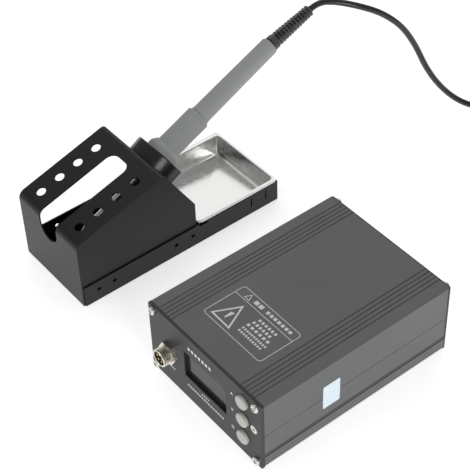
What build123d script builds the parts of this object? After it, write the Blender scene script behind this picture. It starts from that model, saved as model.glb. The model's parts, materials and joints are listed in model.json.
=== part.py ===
"""Soldering station: a control unit in a split aluminium case, a sheet-metal iron stand with a
tinplate tray, and an iron on a cord. Millimetres, +Z up. The origin is on the table, under the
middle of everything but the cord. The control unit's front panel faces -Y."""
from build123d import *
from math import atan2, cos, degrees, pi, radians, sin, tan
import os

# ---- control unit, in its own frame: x 0..UNIT_W, y 0..UNIT_L from the front panel's face ----
UNIT_X, UNIT_Y = 14.65, -102.9
UNIT_W, UNIT_L, UNIT_H = 106.0, 145.8, 55.2
PANEL_T, REAR_PANEL_T, REAR_PANEL_H = 2.2, 1.2, 54.4
SHELL_INSET = 0.2
SHELL_WALL = 1.8
SPLIT_Z = 9.2
SEAM = 0.8
PORT_X, PORT_Z = 4.5, 4.0
PORT_R, PORT_HOLE_R = 3.2, 1.25
TOP_GROOVES, TOP_GROOVE_PITCH, TOP_GROOVE_FIRST, GROOVE_SIDE = 5, 3.0, 8.4, 0.7
EDGE_LINE_Z, SEAM_LINE_Z, MIDDLE_LINE_Z = 53.9, 11.3, 27.6
WINDOW_X, WINDOW_Z, WINDOW_W, WINDOW_H = 53.8, 29.9, 40.1, 21.5
BUTTON_X, BUTTON_Z, BUTTON_PITCH, BUTTON_R = 89.4, 29.9, 15.4, 4.85
BUTTON_NAMES = ("menu_button", "down_button", "up_button")
SPACER_X, SPACER_Z = 98.9, 29.4
SOCKET_X, SOCKET_Z, SOCKET_R, SOCKET_PROUD = 19.0, 26.5, 6.0, 8.2
SOCKET_NUT_T, SOCKET_NECK_R, SOCKET_NECK_END = 2.2, 5.4, 2.8
INLET_X, SWITCH_X, REAR_Z = 32.0, 78.0, 27.6
ROCKER_REST = 10.0
FLOOR_Z = 2.0
BOARD_T = 1.6

# ---- stand, in its own frame: x 0..STAND_W, y 0..STAND_L from its front ----
STAND_X, STAND_Y = -120.65, -108.9
STAND_W, STAND_L = 68.5, 161.4
SHEET = 1.0
FLANGE_H = 16.0
FRONT_H, PEAK_Y, PEAK_Z = 52.7, 69.2, 72.5
HEEL_Y, HEEL_Z = 92.0, 34.9
FRONT_BEND_R, PEAK_BEND_R = 6.0, 3.5
SLOT_W, SLOT_END_Y, NOTCH_Z = 19.0, 60.0, 44.4
TIP_HOLE_R, TIP_HOLE_X, TIP_HOLE_FIRST, TIP_HOLE_PITCH = 3.3, 12.4, 11.0, 15.3
TRAY_Y, TRAY_RIM_Z, TRAY_T = 93.6, 16.9, 0.5
RING_R, RING_H, RING_BORE_R = 18.4, 10.0, 12.5
RING_Y, RING_Z = 81.8, 51.8

# ---- iron, turned about its axis; heights run from the ring's outer face towards the cord ----
IRON_LIFT = 25.0
COLLAR_R, GRIP_R, BODY_FRONT_R, BODY_REAR_R, NOSE_R = 11.8, 8.65, 6.85, 6.3, 10.3
COLLAR_END, GRIP_END, BODY_END, NOSE_START = 6.4, 36.0, 104.0, -14.0
SHAFT_R, TIP_START, TIP_END = 2.75, -70.0, -82.0
RELIEF_L, RELIEF_DROOP = 36.5, 5.0

# ---- cord ----
CORD_D = 4.4
CORD_LENGTH = 1150.0
FLOOR_LINE = 2.3
COIL_X, COIL_Y = 6.2, 241.4
COIL_MID_R, COIL_HALF_W, COIL_LIFT = 26.4, 6.9, 0.8
COIL_H = 9.2
PLUG_X, PLUG_END_Y, PLUG_Z = 37.15, 175.4, 7.6

unit = Pos(UNIT_X, UNIT_Y, 0)
stand = Pos(STAND_X, STAND_Y, 0)
mid_x = STAND_X + STAND_W / 2


def block(x0, x1, y0, y1, z0, z1):
    return Pos((x0 + x1) / 2, (y0 + y1) / 2, (z0 + z1) / 2) * Box(x1 - x0, y1 - y0, z1 - z0)


def rod(x, z, r, y0, y1):
    """A cylinder along Y."""
    return Pos(x, (y0 + y1) / 2, z) * Rot(90, 0, 0) * Cylinder(r, y1 - y0)


def post(x, y, r, z0, z1):
    return Pos(x, y, (z0 + z1) / 2) * Cylinder(r, z1 - z0)


def turned(profile):
    """A solid of revolution about Z from (radius, height) points."""
    outline = Polyline(*[(r, 0, z) for r, z in profile], close=True)
    return revolve(make_face(outline), Axis.Z, 360)


def group(solids):
    return Compound(children=list(solids))


def corners():
    return [(x, z) for x in (PORT_X, UNIT_W - PORT_X) for z in (PORT_Z, UNIT_H - PORT_Z)]


# ---------------------------------------------------------------- case
def shell_grooves():
    """V grooves along both sides of the top, and three square lines along each side."""
    cuts = []
    for i in range(TOP_GROOVES):
        near = TOP_GROOVE_FIRST + i * TOP_GROOVE_PITCH
        for x in (near, UNIT_W - near):
            bar = Box(GROOVE_SIDE, 2 * UNIT_L, GROOVE_SIDE)
            cuts.append(Pos(x, UNIT_L / 2, UNIT_H - SHELL_INSET) * Rot(0, 45, 0) * bar)
    for z, high, deep in ((EDGE_LINE_Z, 0.6, 0.7), (SEAM_LINE_Z, 0.7, 0.7), (MIDDLE_LINE_Z, 0.3, 0.2)):
        for x in (SHELL_INSET, UNIT_W - SHELL_INSET):
            cuts.append(block(x - deep, x + deep, 0, UNIT_L, z - high / 2, z + high / 2))
    return cuts


def top_shell():
    x0, x1, top = SHELL_INSET, UNIT_W - SHELL_INSET, UNIT_H - SHELL_INSET
    y0, y1 = PANEL_T, UNIT_L - REAR_PANEL_T
    solid = block(x0, x1, y0, y1, SPLIT_Z + SEAM, top)
    solid = fillet(solid.edges().filter_by(Axis.Y).group_by(Axis.Z)[-1], 0.5)
    solid -= block(x0 + SHELL_WALL, x1 - SHELL_WALL, 0, UNIT_L, 0, top - SHELL_WALL)
    for x in (PORT_X, UNIT_W - PORT_X):
        solid += rod(x, UNIT_H - PORT_Z, PORT_R, y0, y1)
        solid -= rod(x, UNIT_H - PORT_Z, PORT_HOLE_R, y0 - 1, y1 + 1)
    for cut in shell_grooves():
        solid -= cut
    return solid


def bottom_shell():
    y0, y1 = PANEL_T, UNIT_L - REAR_PANEL_T
    solid = block(0, UNIT_W, y0, y1, 0, SPLIT_Z)
    solid = fillet(solid.edges().filter_by(Axis.Y).group_by(Axis.Z)[0], 2.0)
    solid -= block(FLOOR_Z, UNIT_W - FLOOR_Z, 0, UNIT_L, FLOOR_Z, SPLIT_Z + 1)
    lip = SHELL_INSET + SHELL_WALL + 0.1
    for x in (lip, UNIT_W - lip - 1.2):
        solid += block(x, x + 1.2, y0, y1, FLOOR_Z - 0.5, SPLIT_Z + 5)
    for x in (PORT_X, UNIT_W - PORT_X):
        solid += rod(x, PORT_Z, PORT_R, y0, y1)
        solid -= rod(x, PORT_Z, PORT_HOLE_R, y0 - 1, y1 + 1)
    return solid


def panel(y0, y1, height):
    plate = block(0, UNIT_W, y0, y1, 0, height)
    plate = fillet(plate.edges().filter_by(Axis.Y), 0.9)
    for x, z in corners():
        plate -= rod(x, z, 1.6, y0 - 1, y1 + 1)
    return plate


def front_panel():
    plate = panel(0, PANEL_T, UNIT_H)
    plate -= block(WINDOW_X - WINDOW_W / 2, WINDOW_X + WINDOW_W / 2, -1, PANEL_T + 1,
                   WINDOW_Z - WINDOW_H / 2, WINDOW_Z + WINDOW_H / 2)
    for z in button_heights():
        plate -= rod(BUTTON_X, z, BUTTON_R + 0.3, -1, PANEL_T + 1)
    plate -= rod(SOCKET_X, SOCKET_Z, SOCKET_NECK_R + 0.1, -1, PANEL_T + 1)
    plate -= rod(SPACER_X, SPACER_Z, 1.6, -1, PANEL_T + 1)
    return plate - Pos(SPACER_X, 0.85, SPACER_Z) * Rot(-90, 0, 0) * Cone(3.0, 1.5, 1.7)


def rear_panel():
    y0 = UNIT_L - REAR_PANEL_T
    plate = panel(y0, UNIT_L, REAR_PANEL_H)
    plate -= block(INLET_X - 13.8, INLET_X + 13.8, y0 - 1, UNIT_L + 1, REAR_Z - 10, REAR_Z + 10)
    for x in (INLET_X - 20, INLET_X + 20):
        plate -= rod(x, REAR_Z, 1.6, y0 - 1, UNIT_L + 1)
    return plate - block(SWITCH_X - 6.9, SWITCH_X + 6.9, y0 - 1, UNIT_L + 1, REAR_Z - 10.1, REAR_Z + 10.1)


def pan_screw(x, z, face_y, outward):
    """An M3 pan-head screw with a cross recess, seated on the plane y = face_y."""
    head = fillet(Cylinder(2.9, 2.0).edges().group_by(Axis.Z)[-1], 1.1)
    head = Pos(0, 0, 1.0) * head
    head += Pos(0, 0, -4.0) * Cylinder(1.2, 8.0)
    for angle in (0, 90):
        head -= Pos(0, 0, 1.9) * Rot(0, 0, angle) * Box(3.0, 0.7, 1.6)
    turn = Rot(90, 0, 0) if outward < 0 else Rot(-90, 0, 0)
    return Pos(x, face_y, z) * turn * head


def front_panel_screws():
    return group(unit * pan_screw(x, z, 0, -1) for x, z in corners())


def rear_panel_screws():
    return group(unit * pan_screw(x, z, UNIT_L, 1) for x, z in corners())


def spacer_screw():
    head = Pos(0, 0, -0.8) * Cone(1.4, 2.85, 1.5)
    head += Pos(0, 0, -4.0) * Cylinder(1.35, 5.0)
    head -= Pos(0, 0, -0.6) * Cylinder(0.9, 1.2)
    return Pos(SPACER_X, 0, SPACER_Z) * Rot(90, 0, 0) * head


# ---------------------------------------------------------------- front of the unit
def button_heights():
    return [BUTTON_Z + i * BUTTON_PITCH for i in (-1, 0, 1)]


def button_cap(z):
    cap = Pos(0, 0, 2.75) * Cylinder(BUTTON_R, 5.5)
    cap = fillet(cap.edges().group_by(Axis.Z)[-1], 1.1)
    cap += Pos(0, 0, 0.35) * Cylinder(BUTTON_R + 1.0, 0.7)
    cap += Pos(0, 0, -1.3) * Cylinder(1.7, 2.6)
    return Pos(BUTTON_X, 3.4, z) * Rot(90, 0, 0) * cap


def tact_switches():
    parts = []
    for z in button_heights():
        parts.append(block(BUTTON_X - 3, BUTTON_X + 3, 7.4, 11.0, z - 3, z + 3)
                     + rod(BUTTON_X, z, 1.7, 6.9, 7.5))
    return group(unit * p for p in parts)


def display_window():
    return block(WINDOW_X - 23, WINDOW_X + 23, PANEL_T, PANEL_T + 1.5, WINDOW_Z - 13, WINDOW_Z + 13)


def display_module():
    glass = block(WINDOW_X - 18, WINDOW_X + 18, 4.0, 5.8, WINDOW_Z - 10, WINDOW_Z + 10)
    board = block(WINDOW_X - 20, WINDOW_X + 20, 5.8, 7.0, WINDOW_Z - 12, WINDOW_Z + 13.3)
    header = block(WINDOW_X - 5, WINDOW_X + 5, 7.0, 11.0, WINDOW_Z + 10.5, WINDOW_Z + 13)
    return glass + board + header


def control_board():
    board = block(32, 102, 11.0, 11.0 + BOARD_T, 8, 47.8)
    for x, z in board_fixings():
        board -= rod(x, z, 1.3, 10, 14)
    return board


def board_fixings():
    return [(SPACER_X, SPACER_Z), (35.0, 12.0), (35.0, 45.8)]


def board_spacers():
    parts = []
    for x, z in board_fixings():
        spacer = rod(x, z, 2.2, PANEL_T, 11.0)
        spacer -= rod(x, z, 1.4, PANEL_T - 1, PANEL_T + 5)
        parts.append(spacer + rod(x, z, 1.25, 10.0, 14.2))
    return group(unit * p for p in parts)


def socket_shell():
    shell = rod(SOCKET_X, SOCKET_Z, SOCKET_R, -SOCKET_PROUD, -SOCKET_NECK_END)
    shell += rod(SOCKET_X, SOCKET_Z, SOCKET_NECK_R, -SOCKET_NECK_END, 11)
    shell += rod(SOCKET_X, SOCKET_Z, 7.6, PANEL_T, PANEL_T + 2)
    shell -= rod(SOCKET_X, SOCKET_Z, 4.8, -SOCKET_PROUD - 1, 12)
    return shell


def socket_nut():
    half = SOCKET_NUT_T / 2
    nut = Pos(SOCKET_X, -half, SOCKET_Z) * Rot(90, 0, 0) * extrude(RegularPolygon(8.1, 6), half, both=True)
    return nut - rod(SOCKET_X, SOCKET_Z, SOCKET_NECK_R + 0.05, -4, 1)


def socket_insert():
    insert = rod(SOCKET_X, SOCKET_Z, 4.8, -5.8, 10)
    for x, z in pin_places():
        insert -= rod(SOCKET_X + x, SOCKET_Z + z, 0.6, -8, 12)
    return insert


def pin_places():
    turns = [radians(90 + 72 * i) for i in range(5)]
    return [(2.7 * cos(t), 2.7 * sin(t)) for t in turns]


def socket_pins():
    return group(unit * rod(SOCKET_X + x, SOCKET_Z + z, 0.6, -7.4, 14) for x, z in pin_places())


# ---------------------------------------------------------------- back of the unit
def mains_inlet():
    back = UNIT_L
    body = block(INLET_X - 25, INLET_X + 25, back, back + 3, REAR_Z - 11, REAR_Z + 11)
    body = fillet(body.edges().filter_by(Axis.Y), 5.0)
    body += block(INLET_X - 13.5, INLET_X + 13.5, back - 18, back, REAR_Z - 9.7, REAR_Z + 9.7)
    cavity = block(INLET_X - 12, INLET_X + 12, back - 15, back + 4, REAR_Z - 8, REAR_Z + 8)
    cavity = chamfer(cavity.edges().filter_by(Axis.Y).group_by(Axis.Z)[0], 4.5)
    body -= cavity
    for x in (INLET_X - 20, INLET_X + 20):
        body -= rod(x, REAR_Z, 1.6, back - 1, back + 4)
    for x, z in inlet_pin_places():
        body -= block(x - 1.0, x + 1.0, back - 20, back, z - 2.0, z + 2.0)
    return body


def inlet_pin_places():
    return [(INLET_X - 7, REAR_Z - 1.5), (INLET_X, REAR_Z + 2.5), (INLET_X + 7, REAR_Z - 1.5)]


def mains_inlet_pins():
    return group(unit * block(x - 1.0, x + 1.0, UNIT_L - 26, UNIT_L - 1, z - 2.0, z + 2.0)
                 for x, z in inlet_pin_places())


def mains_inlet_screws():
    return group(unit * pan_screw(x, REAR_Z, UNIT_L + 3, 1) for x in (INLET_X - 20, INLET_X + 20))


def switch_frame():
    back = UNIT_L
    frame = block(SWITCH_X - 8.2, SWITCH_X + 8.2, back, back + 2, REAR_Z - 11.5, REAR_Z + 11.5)
    frame = fillet(frame.edges().filter_by(Axis.Y), 1.2)
    frame += block(SWITCH_X - 6.8, SWITCH_X + 6.8, back - 13, back, REAR_Z - 10, REAR_Z + 10)
    frame -= block(SWITCH_X - 5.9, SWITCH_X + 5.9, back - 11, back + 3, REAR_Z - 9.1, REAR_Z + 9.1)
    hinge = Pos(SWITCH_X, back, REAR_Z) * Rot(0, 90, 0) * Cylinder(1.25, 13.2)
    return frame - hinge


def switch_rocker():
    """A shallow V face over a rounded body, on two stub pins along X, resting switched off."""
    outline = Polyline((3.2, 8.0), (1.7, 0), (3.2, -8.0), (-2.5, -8.0), (-6.5, -4.5), (-6.5, 4.5),
                       (-2.5, 8.0), close=True)
    rocker = extrude(Plane.YZ * make_face(outline), 5.6, both=True)
    rocker += Rot(0, 90, 0) * Cylinder(1.2, 13.0)
    return Pos(SWITCH_X, UNIT_L, REAR_Z) * Rot(ROCKER_REST, 0, 0) * rocker


def switch_terminals():
    return group(unit * block(SWITCH_X - 2.4, SWITCH_X + 2.4, UNIT_L - 21, UNIT_L - 13, z - 0.4, z + 0.4)
                 for z in (REAR_Z - 5, REAR_Z + 5))


# ---------------------------------------------------------------- inside the unit
BOARD_X0, BOARD_X1, BOARD_Y0, BOARD_Y1, BOARD_Z = 9.0, 97.0, 24.0, 112.0, 8.0


def power_board_fixings():
    return [(x, y) for x in (BOARD_X0 + 4, BOARD_X1 - 4) for y in (BOARD_Y0 + 4, BOARD_Y1 - 4)]


def power_board():
    board = block(BOARD_X0, BOARD_X1, BOARD_Y0, BOARD_Y1, BOARD_Z, BOARD_Z + BOARD_T)
    for x, y in power_board_fixings():
        board -= post(x, y, 1.3, BOARD_Z - 1, BOARD_Z + 3)
    return board


def power_board_spacers():
    return group(unit * (post(x, y, 2.8, FLOOR_Z, BOARD_Z) + post(x, y, 1.2, BOARD_Z - 1, BOARD_Z + 3.4))
                 for x, y in power_board_fixings())


def transformer():
    top = BOARD_Z + BOARD_T
    core = block(38, 72, 52, 58, top + 3, top + 25) + block(38, 72, 72, 78, top + 3, top + 25)
    core += block(38, 43, 52, 78, top + 3, top + 25) + block(67, 72, 52, 78, top + 3, top + 25)
    winding = block(43, 67, 56, 74, top + 5, top + 23) + block(40, 70, 55, 75, top, top + 5)
    return core + winding


def capacitors():
    top = BOARD_Z + BOARD_T
    places = [(24, 64, 9.0, 30.0), (86, 42, 5.0, 20.0), (86, 56, 5.0, 20.0), (30, 34, 4.0, 14.0)]
    return group(unit * fillet(post(x, y, r, top, top + h).edges().group_by(Axis.Z)[-1], 0.8)
                 for x, y, r, h in places)


def heat_sinks():
    top = BOARD_Z + BOARD_T
    plates = []
    for x, y0, y1 in ((12.0, 82.0, 106.0), (90.5, 64.0, 104.0)):
        sink = block(x, x + 2, y0, y1, top, top + 24)
        for i in range(3):
            sink += block(x - 1.2, x, y0, y1, top + 5 + i * 7, top + 7 + i * 7)
        plates.append(unit * sink)
    return group(plates)


def mains_fuse():
    top = BOARD_Z + BOARD_T
    clips = block(50, 52.5, 98, 104.5, top, top + 6) + block(66, 68.5, 98, 104.5, top, top + 6)
    return clips + Pos(59.25, 101.2, top + 4) * Rot(0, 90, 0) * Cylinder(2.6, 20)


def wire(points, radius, r=0.9):
    path = FilletPolyline(*points, radius=radius)
    return sweep(Plane(path @ 0, z_dir=path % 0) * Circle(r), path)


def mains_wires():
    top = BOARD_Z + BOARD_T
    wires = []
    for x, z in (inlet_pin_places()[0], inlet_pin_places()[2]):
        wires.append(wire([(x, UNIT_L - 26, z), (x, UNIT_L - 38, z), (x, UNIT_L - 38, top)], 5.0))
    return group(unit * w for w in wires)


def socket_wires():
    wires = []
    for x, z in pin_places():
        start = (SOCKET_X + x, 14.0, SOCKET_Z + z)
        bend = (SOCKET_X + x, 22.0, SOCKET_Z + z)
        wires.append(wire([start, bend, (SOCKET_X + x, 22.0, SOCKET_Z + z + 14)], 3.0, 0.6))
    return group(unit * w for w in wires)


def side_sticker():
    return fillet(block(UNIT_W - SHELL_INSET, UNIT_W - SHELL_INSET + 0.15, 45.9, 58.8, 18.3, 37.3)
                  .edges().filter_by(Axis.X), 1.0)


# ---------------------------------------------------------------- stand
def side_outline(points):
    return make_face(Polyline(*[(0, y, z) for y, z in points], close=True))


def cover_points(inset, bottom):
    """The cover's side view, inset by a sheet's thickness for its inside."""
    rise = atan2(PEAK_Z - FRONT_H, PEAK_Y)
    fall = atan2(HEEL_Z - PEAK_Z, HEEL_Y - PEAK_Y)
    front_z = FRONT_H - inset * tan((pi / 2 - rise) / 2) if inset else FRONT_H
    half = (rise - fall) / 2
    bisector = (rise + fall) / 2 - pi / 2
    reach = inset / cos(half)
    peak = (PEAK_Y + reach * cos(bisector), PEAK_Z + reach * sin(bisector))
    heel_z = HEEL_Z - inset * tan((fall + pi / 2) / 2) if inset else HEEL_Z
    return [(inset, bottom), (inset, front_z), peak, (HEEL_Y - inset, heel_z), (HEEL_Y - inset, bottom)]


def stand_cover():
    x0, x1 = SHEET + 0.05, STAND_W - SHEET - 0.05
    bent = extrude(side_outline(cover_points(0, 0)), x1 - x0, dir=(1, 0, 0))
    bends = bent.edges().filter_by(Axis.X).sort_by(Axis.Z)
    bent = fillet([bends[-2]], FRONT_BEND_R)
    bent = fillet([bent.edges().filter_by(Axis.X).sort_by(Axis.Z)[-1]], PEAK_BEND_R)
    hollow = extrude(side_outline(cover_points(SHEET, -5)), x1 - x0 - SHEET, dir=(1, 0, 0))
    edges = hollow.edges().filter_by(Axis.X).sort_by(Axis.Z)
    hollow = fillet([edges[-2]], FRONT_BEND_R - SHEET)
    hollow = fillet([hollow.edges().filter_by(Axis.X).sort_by(Axis.Z)[-1]], PEAK_BEND_R - SHEET)
    solid = Pos(x0, 0, 0) * bent - Pos(x0, 0, 0) * hollow - Pos(x0 - 5, 0, 0) * hollow
    solid -= block(0, STAND_W, SHEET, STAND_L, -1, SHEET)
    for cut in cover_cuts():
        solid -= cut
    return solid


def cover_cuts():
    mid = STAND_W / 2
    slot = block(mid - SLOT_W / 2, mid + SLOT_W / 2, -5, SLOT_END_Y, 46, 85)
    slot = fillet(slot.edges().filter_by(Axis.Z).group_by(Axis.Y)[-1], 6.0)
    notch = rod(mid, NOTCH_Z, SLOT_W / 2, -5, FRONT_BEND_R + 2)
    notch += block(mid - SLOT_W / 2, mid + SLOT_W / 2, -5, FRONT_BEND_R + 2, NOTCH_Z, 60)
    neck = ring_place(Cylinder(15.0, 6.0))
    return [slot, notch, neck] + tip_holes()


def tip_holes():
    rise = degrees(atan2(PEAK_Z - FRONT_H, PEAK_Y))
    holes = []
    for x in (TIP_HOLE_X, STAND_W - TIP_HOLE_X):
        for i in range(4):
            along = TIP_HOLE_FIRST + i * TIP_HOLE_PITCH
            y = along * cos(radians(rise))
            z = FRONT_H + along * sin(radians(rise))
            holes.append(Pos(x, y, z) * Rot(rise, 0, 0) * Cylinder(TIP_HOLE_R, 8))
    return holes


def ring_place(shape):
    """Puts a shape made about Z onto the rear slope, at the ring's foot."""
    fall = atan2(PEAK_Z - HEEL_Z, HEEL_Y - PEAK_Y)
    return Pos(STAND_W / 2, RING_Y, RING_Z) * Rot(-degrees(fall), 0, 0) * shape


def stand_base():
    pan = block(0, STAND_W, SHEET, STAND_L, 0, FLANGE_H)
    pan = fillet(pan.edges().filter_by(Axis.Z), 0.8)
    pan -= block(SHEET, STAND_W - SHEET, 2 * SHEET, STAND_L - SHEET, SHEET, FLANGE_H + 1)
    pan -= block(STAND_W - 2.2 * SHEET, STAND_W - SHEET, 0, 3 * SHEET, SHEET, FLANGE_H + 1)
    for y in (12.0, 24.2, 74.3, 88.1):
        pan -= Pos(STAND_W / 2, y, 9.3) * Rot(0, 90, 0) * Cylinder(1.5, STAND_W + 4)
    for y in (138.1, 150.7):
        for x in (0, STAND_W):
            pan -= block(x - 2, x + 2, y - 0.5, y + 0.5, 6.0, 13.5)
    for x in (0, STAND_W):
        pan -= block(x - 2, x + 2, HEEL_Y + 1.8, HEEL_Y + 8.5, FLANGE_H - 1.8, FLANGE_H + 1)
    return pan


def holder_ring():
    ring = Pos(0, 0, RING_H / 2) * Cylinder(RING_R, RING_H)
    ring = fillet(ring.edges().group_by(Axis.Z)[-1], 1.0)
    ring += Pos(0, 0, -2.5) * Cylinder(14.95, 5.0)
    ring -= Cylinder(RING_BORE_R, 40)
    return ring_place(ring)


def holder_nut():
    nut = Pos(0, 0, -2.6) * Cylinder(18.0, 3.0) - Cylinder(14.98, 20)
    for i in range(6):
        nut -= Rot(0, 0, 60 * i) * Pos(18.6, 0, 0) * Cylinder(2.0, 20)
    return ring_place(nut)


def solder_tray():
    y1 = STAND_L - SHEET - 0.3
    x0, x1, y0 = SHEET + 0.3, STAND_W - SHEET - 0.3, TRAY_Y + 1.4
    z0, top = SHEET + 0.15, TRAY_RIM_Z
    rim_face = Pos(STAND_W / 2, (TRAY_Y + STAND_L) / 2, top - TRAY_T / 2)
    rim = rim_face * Box(STAND_W - 0.4, STAND_L - TRAY_Y, TRAY_T)
    inner = Pos(STAND_W / 2, (y0 + y1) / 2, 0)
    upper, lower = (x1 - x0 - 4.4, y1 - y0 - 0.2), (x1 - x0 - 7.4, y1 - y0 - 3.2)
    outside = loft([inner * Pos(0, 0, z0) * RectangleRounded(*lower, 3.0),
                    inner * Pos(0, 0, top) * RectangleRounded(*upper, 3.0)])
    grown = 2 * TRAY_T
    inside = loft([inner * Pos(0, 0, z0 + TRAY_T) * RectangleRounded(lower[0] - grown, lower[1] - grown, 2.5),
                   inner * Pos(0, 0, top + 1) * RectangleRounded(upper[0] - grown, upper[1] - grown, 2.5)])
    return rim + outside - inside


# ---------------------------------------------------------------- iron
def iron_axis():
    fall = atan2(PEAK_Z - HEEL_Z, HEEL_Y - PEAK_Y)
    y = STAND_Y + RING_Y + RING_H * sin(fall)
    z = RING_Z + RING_H * cos(fall)
    return Pos(mid_x, y, z) * Rot(IRON_LIFT - 90, 0, 0)


def iron_cartridge():
    return turned([(0, TIP_END), (0.5, TIP_END + 0.4), (SHAFT_R - 0.6, TIP_START), (SHAFT_R, TIP_START + 1),
                   (SHAFT_R, 38), (0, 38)])


def iron_nose_nut():
    return turned([(SHAFT_R, -26), (4.4, -26), (5.8, -23.5), (5.8, NOSE_START), (SHAFT_R, NOSE_START)])


def iron_collar():
    return turned([(BODY_FRONT_R, NOSE_START), (NOSE_R - 2, NOSE_START), (NOSE_R, NOSE_START + 5),
                   (NOSE_R, -1.8), (COLLAR_R, -1.2), (COLLAR_R, COLLAR_END - 3.6),
                   (COLLAR_R - 1.9, COLLAR_END), (BODY_FRONT_R, COLLAR_END)])


def iron_grip():
    return turned([(BODY_FRONT_R, COLLAR_END), (GRIP_R, COLLAR_END), (GRIP_R, GRIP_END - 1.2),
                   (GRIP_R - 1.2, GRIP_END), (BODY_FRONT_R, GRIP_END)])


def iron_handle():
    rear = BODY_REAR_R - 1.2
    return turned([(SHAFT_R + 0.1, NOSE_START), (BODY_FRONT_R, NOSE_START), (BODY_FRONT_R, GRIP_END + 2),
                   (BODY_REAR_R, BODY_END - 1.4), (rear, BODY_END), (4.0, BODY_END), (4.0, 34),
                   (SHAFT_R + 0.1, 34)])


def iron_contact_block():
    return turned([(SHAFT_R, 36), (4.0, 36), (4.0, 58), (0, 58), (0, 38), (SHAFT_R, 38)])


def iron_wires():
    turns = [radians(120 * i) for i in range(3)]
    return group(iron_axis() * Pos(1.8 * cos(t), 1.8 * sin(t), 80) * Cylinder(0.7, 44) for t in turns)


def iron_strain_relief():
    """A plug in the handle's rear bore and a tapered tail that droops a little."""
    root = turned([(0, 102), (4.0, 102), (4.0, BODY_END), (5.3, BODY_END), (5.3, BODY_END + 4), (0, BODY_END + 4)])
    tail = Pos(0, 0, (RELIEF_L + 1) / 2) * Cone(5.1, 4.1, RELIEF_L - 1)
    return root + relief_bend() * tail


def relief_bend():
    return Pos(0, 0, BODY_END) * Rot(-RELIEF_DROOP, 0, 0)


def relief_end(beyond=0.0):
    return (iron_axis() * relief_bend() * Pos(0, 0, RELIEF_L + beyond)).position


# ---------------------------------------------------------------- cord
def cord_route():
    """From the strain relief, out and down to the table, then into the coil."""
    return [tuple(relief_end()), tuple(relief_end(7.5)), (-81.5, 128.7, 113.8), (-71.0, 141.8, 109.4),
            (-64.6, 156.1, 100.8), (-59.1, 170.5, 86.2), (-55.1, 181.0, 67.0), (-51.3, 188.9, 46.0),
            (-45.9, 199.4, 27.0), (-39.1, 212.4, 11.5), (-32.4, 226.4, FLOOR_LINE),
            (-27.6, 238.4, FLOOR_LINE), (-25.1, 250.4, FLOOR_LINE)]


def corner_radii(points):
    radii = []
    for a, b, c in zip(points, points[1:], points[2:]):
        into, out = Vector(*b) - Vector(*a), Vector(*c) - Vector(*b)
        turn = radians(into.get_angle(out))
        radii.append(0.45 * min(into.length, out.length) / tan(turn / 2))
    return radii


def cord_path():
    points = cord_route()
    return FilletPolyline(*points, radius=corner_radii(points))


def iron_cord():
    path = cord_path()
    return sweep(Plane(path @ 0, z_dir=path % 0) * Circle(CORD_D / 2), path)


def cord_coil():
    ring = Cylinder(COIL_MID_R + COIL_HALF_W, COIL_H) - Cylinder(COIL_MID_R - COIL_HALF_W, COIL_H + 2)
    x, y = COIL_X, COIL_Y
    return Pos(x, y, COIL_LIFT + COIL_H / 2) * ring


def cord_tie():
    width, height, wall = 2 * COIL_HALF_W + 0.8, COIL_H + 0.8, 0.7
    band = Box(width + 2 * wall, 7.0, height + wall) - Box(width, 9.0, height - wall)
    z = (height + wall) / 2
    return Pos(COIL_X, COIL_Y, z) * Rot(0, 0, 40) * Pos(COIL_MID_R, 0, 0) * band


def cord_tail():
    y0, y1 = plug_y(44.0), COIL_Y - 7
    return rod(PLUG_X, PLUG_Z, CORD_D / 2, y0, y1)


def plug_y(y):
    return PLUG_END_Y + y


def plug_body():
    body = rod(PLUG_X, PLUG_Z, 5.0, plug_y(1.0), plug_y(14.0))
    body += rod(PLUG_X, PLUG_Z, 6.9, plug_y(14.0), plug_y(30.0))
    return body - rod(PLUG_X, PLUG_Z, 4.2, plug_y(0), plug_y(28))


def plug_coupling_ring():
    ring = rod(PLUG_X, PLUG_Z, 7.5, plug_y(0), plug_y(13.6))
    ring -= rod(PLUG_X, PLUG_Z, 6.05, plug_y(-1), plug_y(8.5))
    return ring - rod(PLUG_X, PLUG_Z, 5.06, plug_y(8), plug_y(15))


def plug_insert():
    insert = rod(PLUG_X, PLUG_Z, 4.2, plug_y(1.5), plug_y(12))
    for x, z in pin_places():
        insert -= rod(PLUG_X + x, PLUG_Z + z, 0.75, plug_y(0), plug_y(8))
    return insert


def plug_clamp():
    clamp = rod(PLUG_X, PLUG_Z, 5.8, plug_y(30), plug_y(34)) + rod(PLUG_X, PLUG_Z, 4.2, plug_y(34), plug_y(44))
    return clamp


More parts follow.
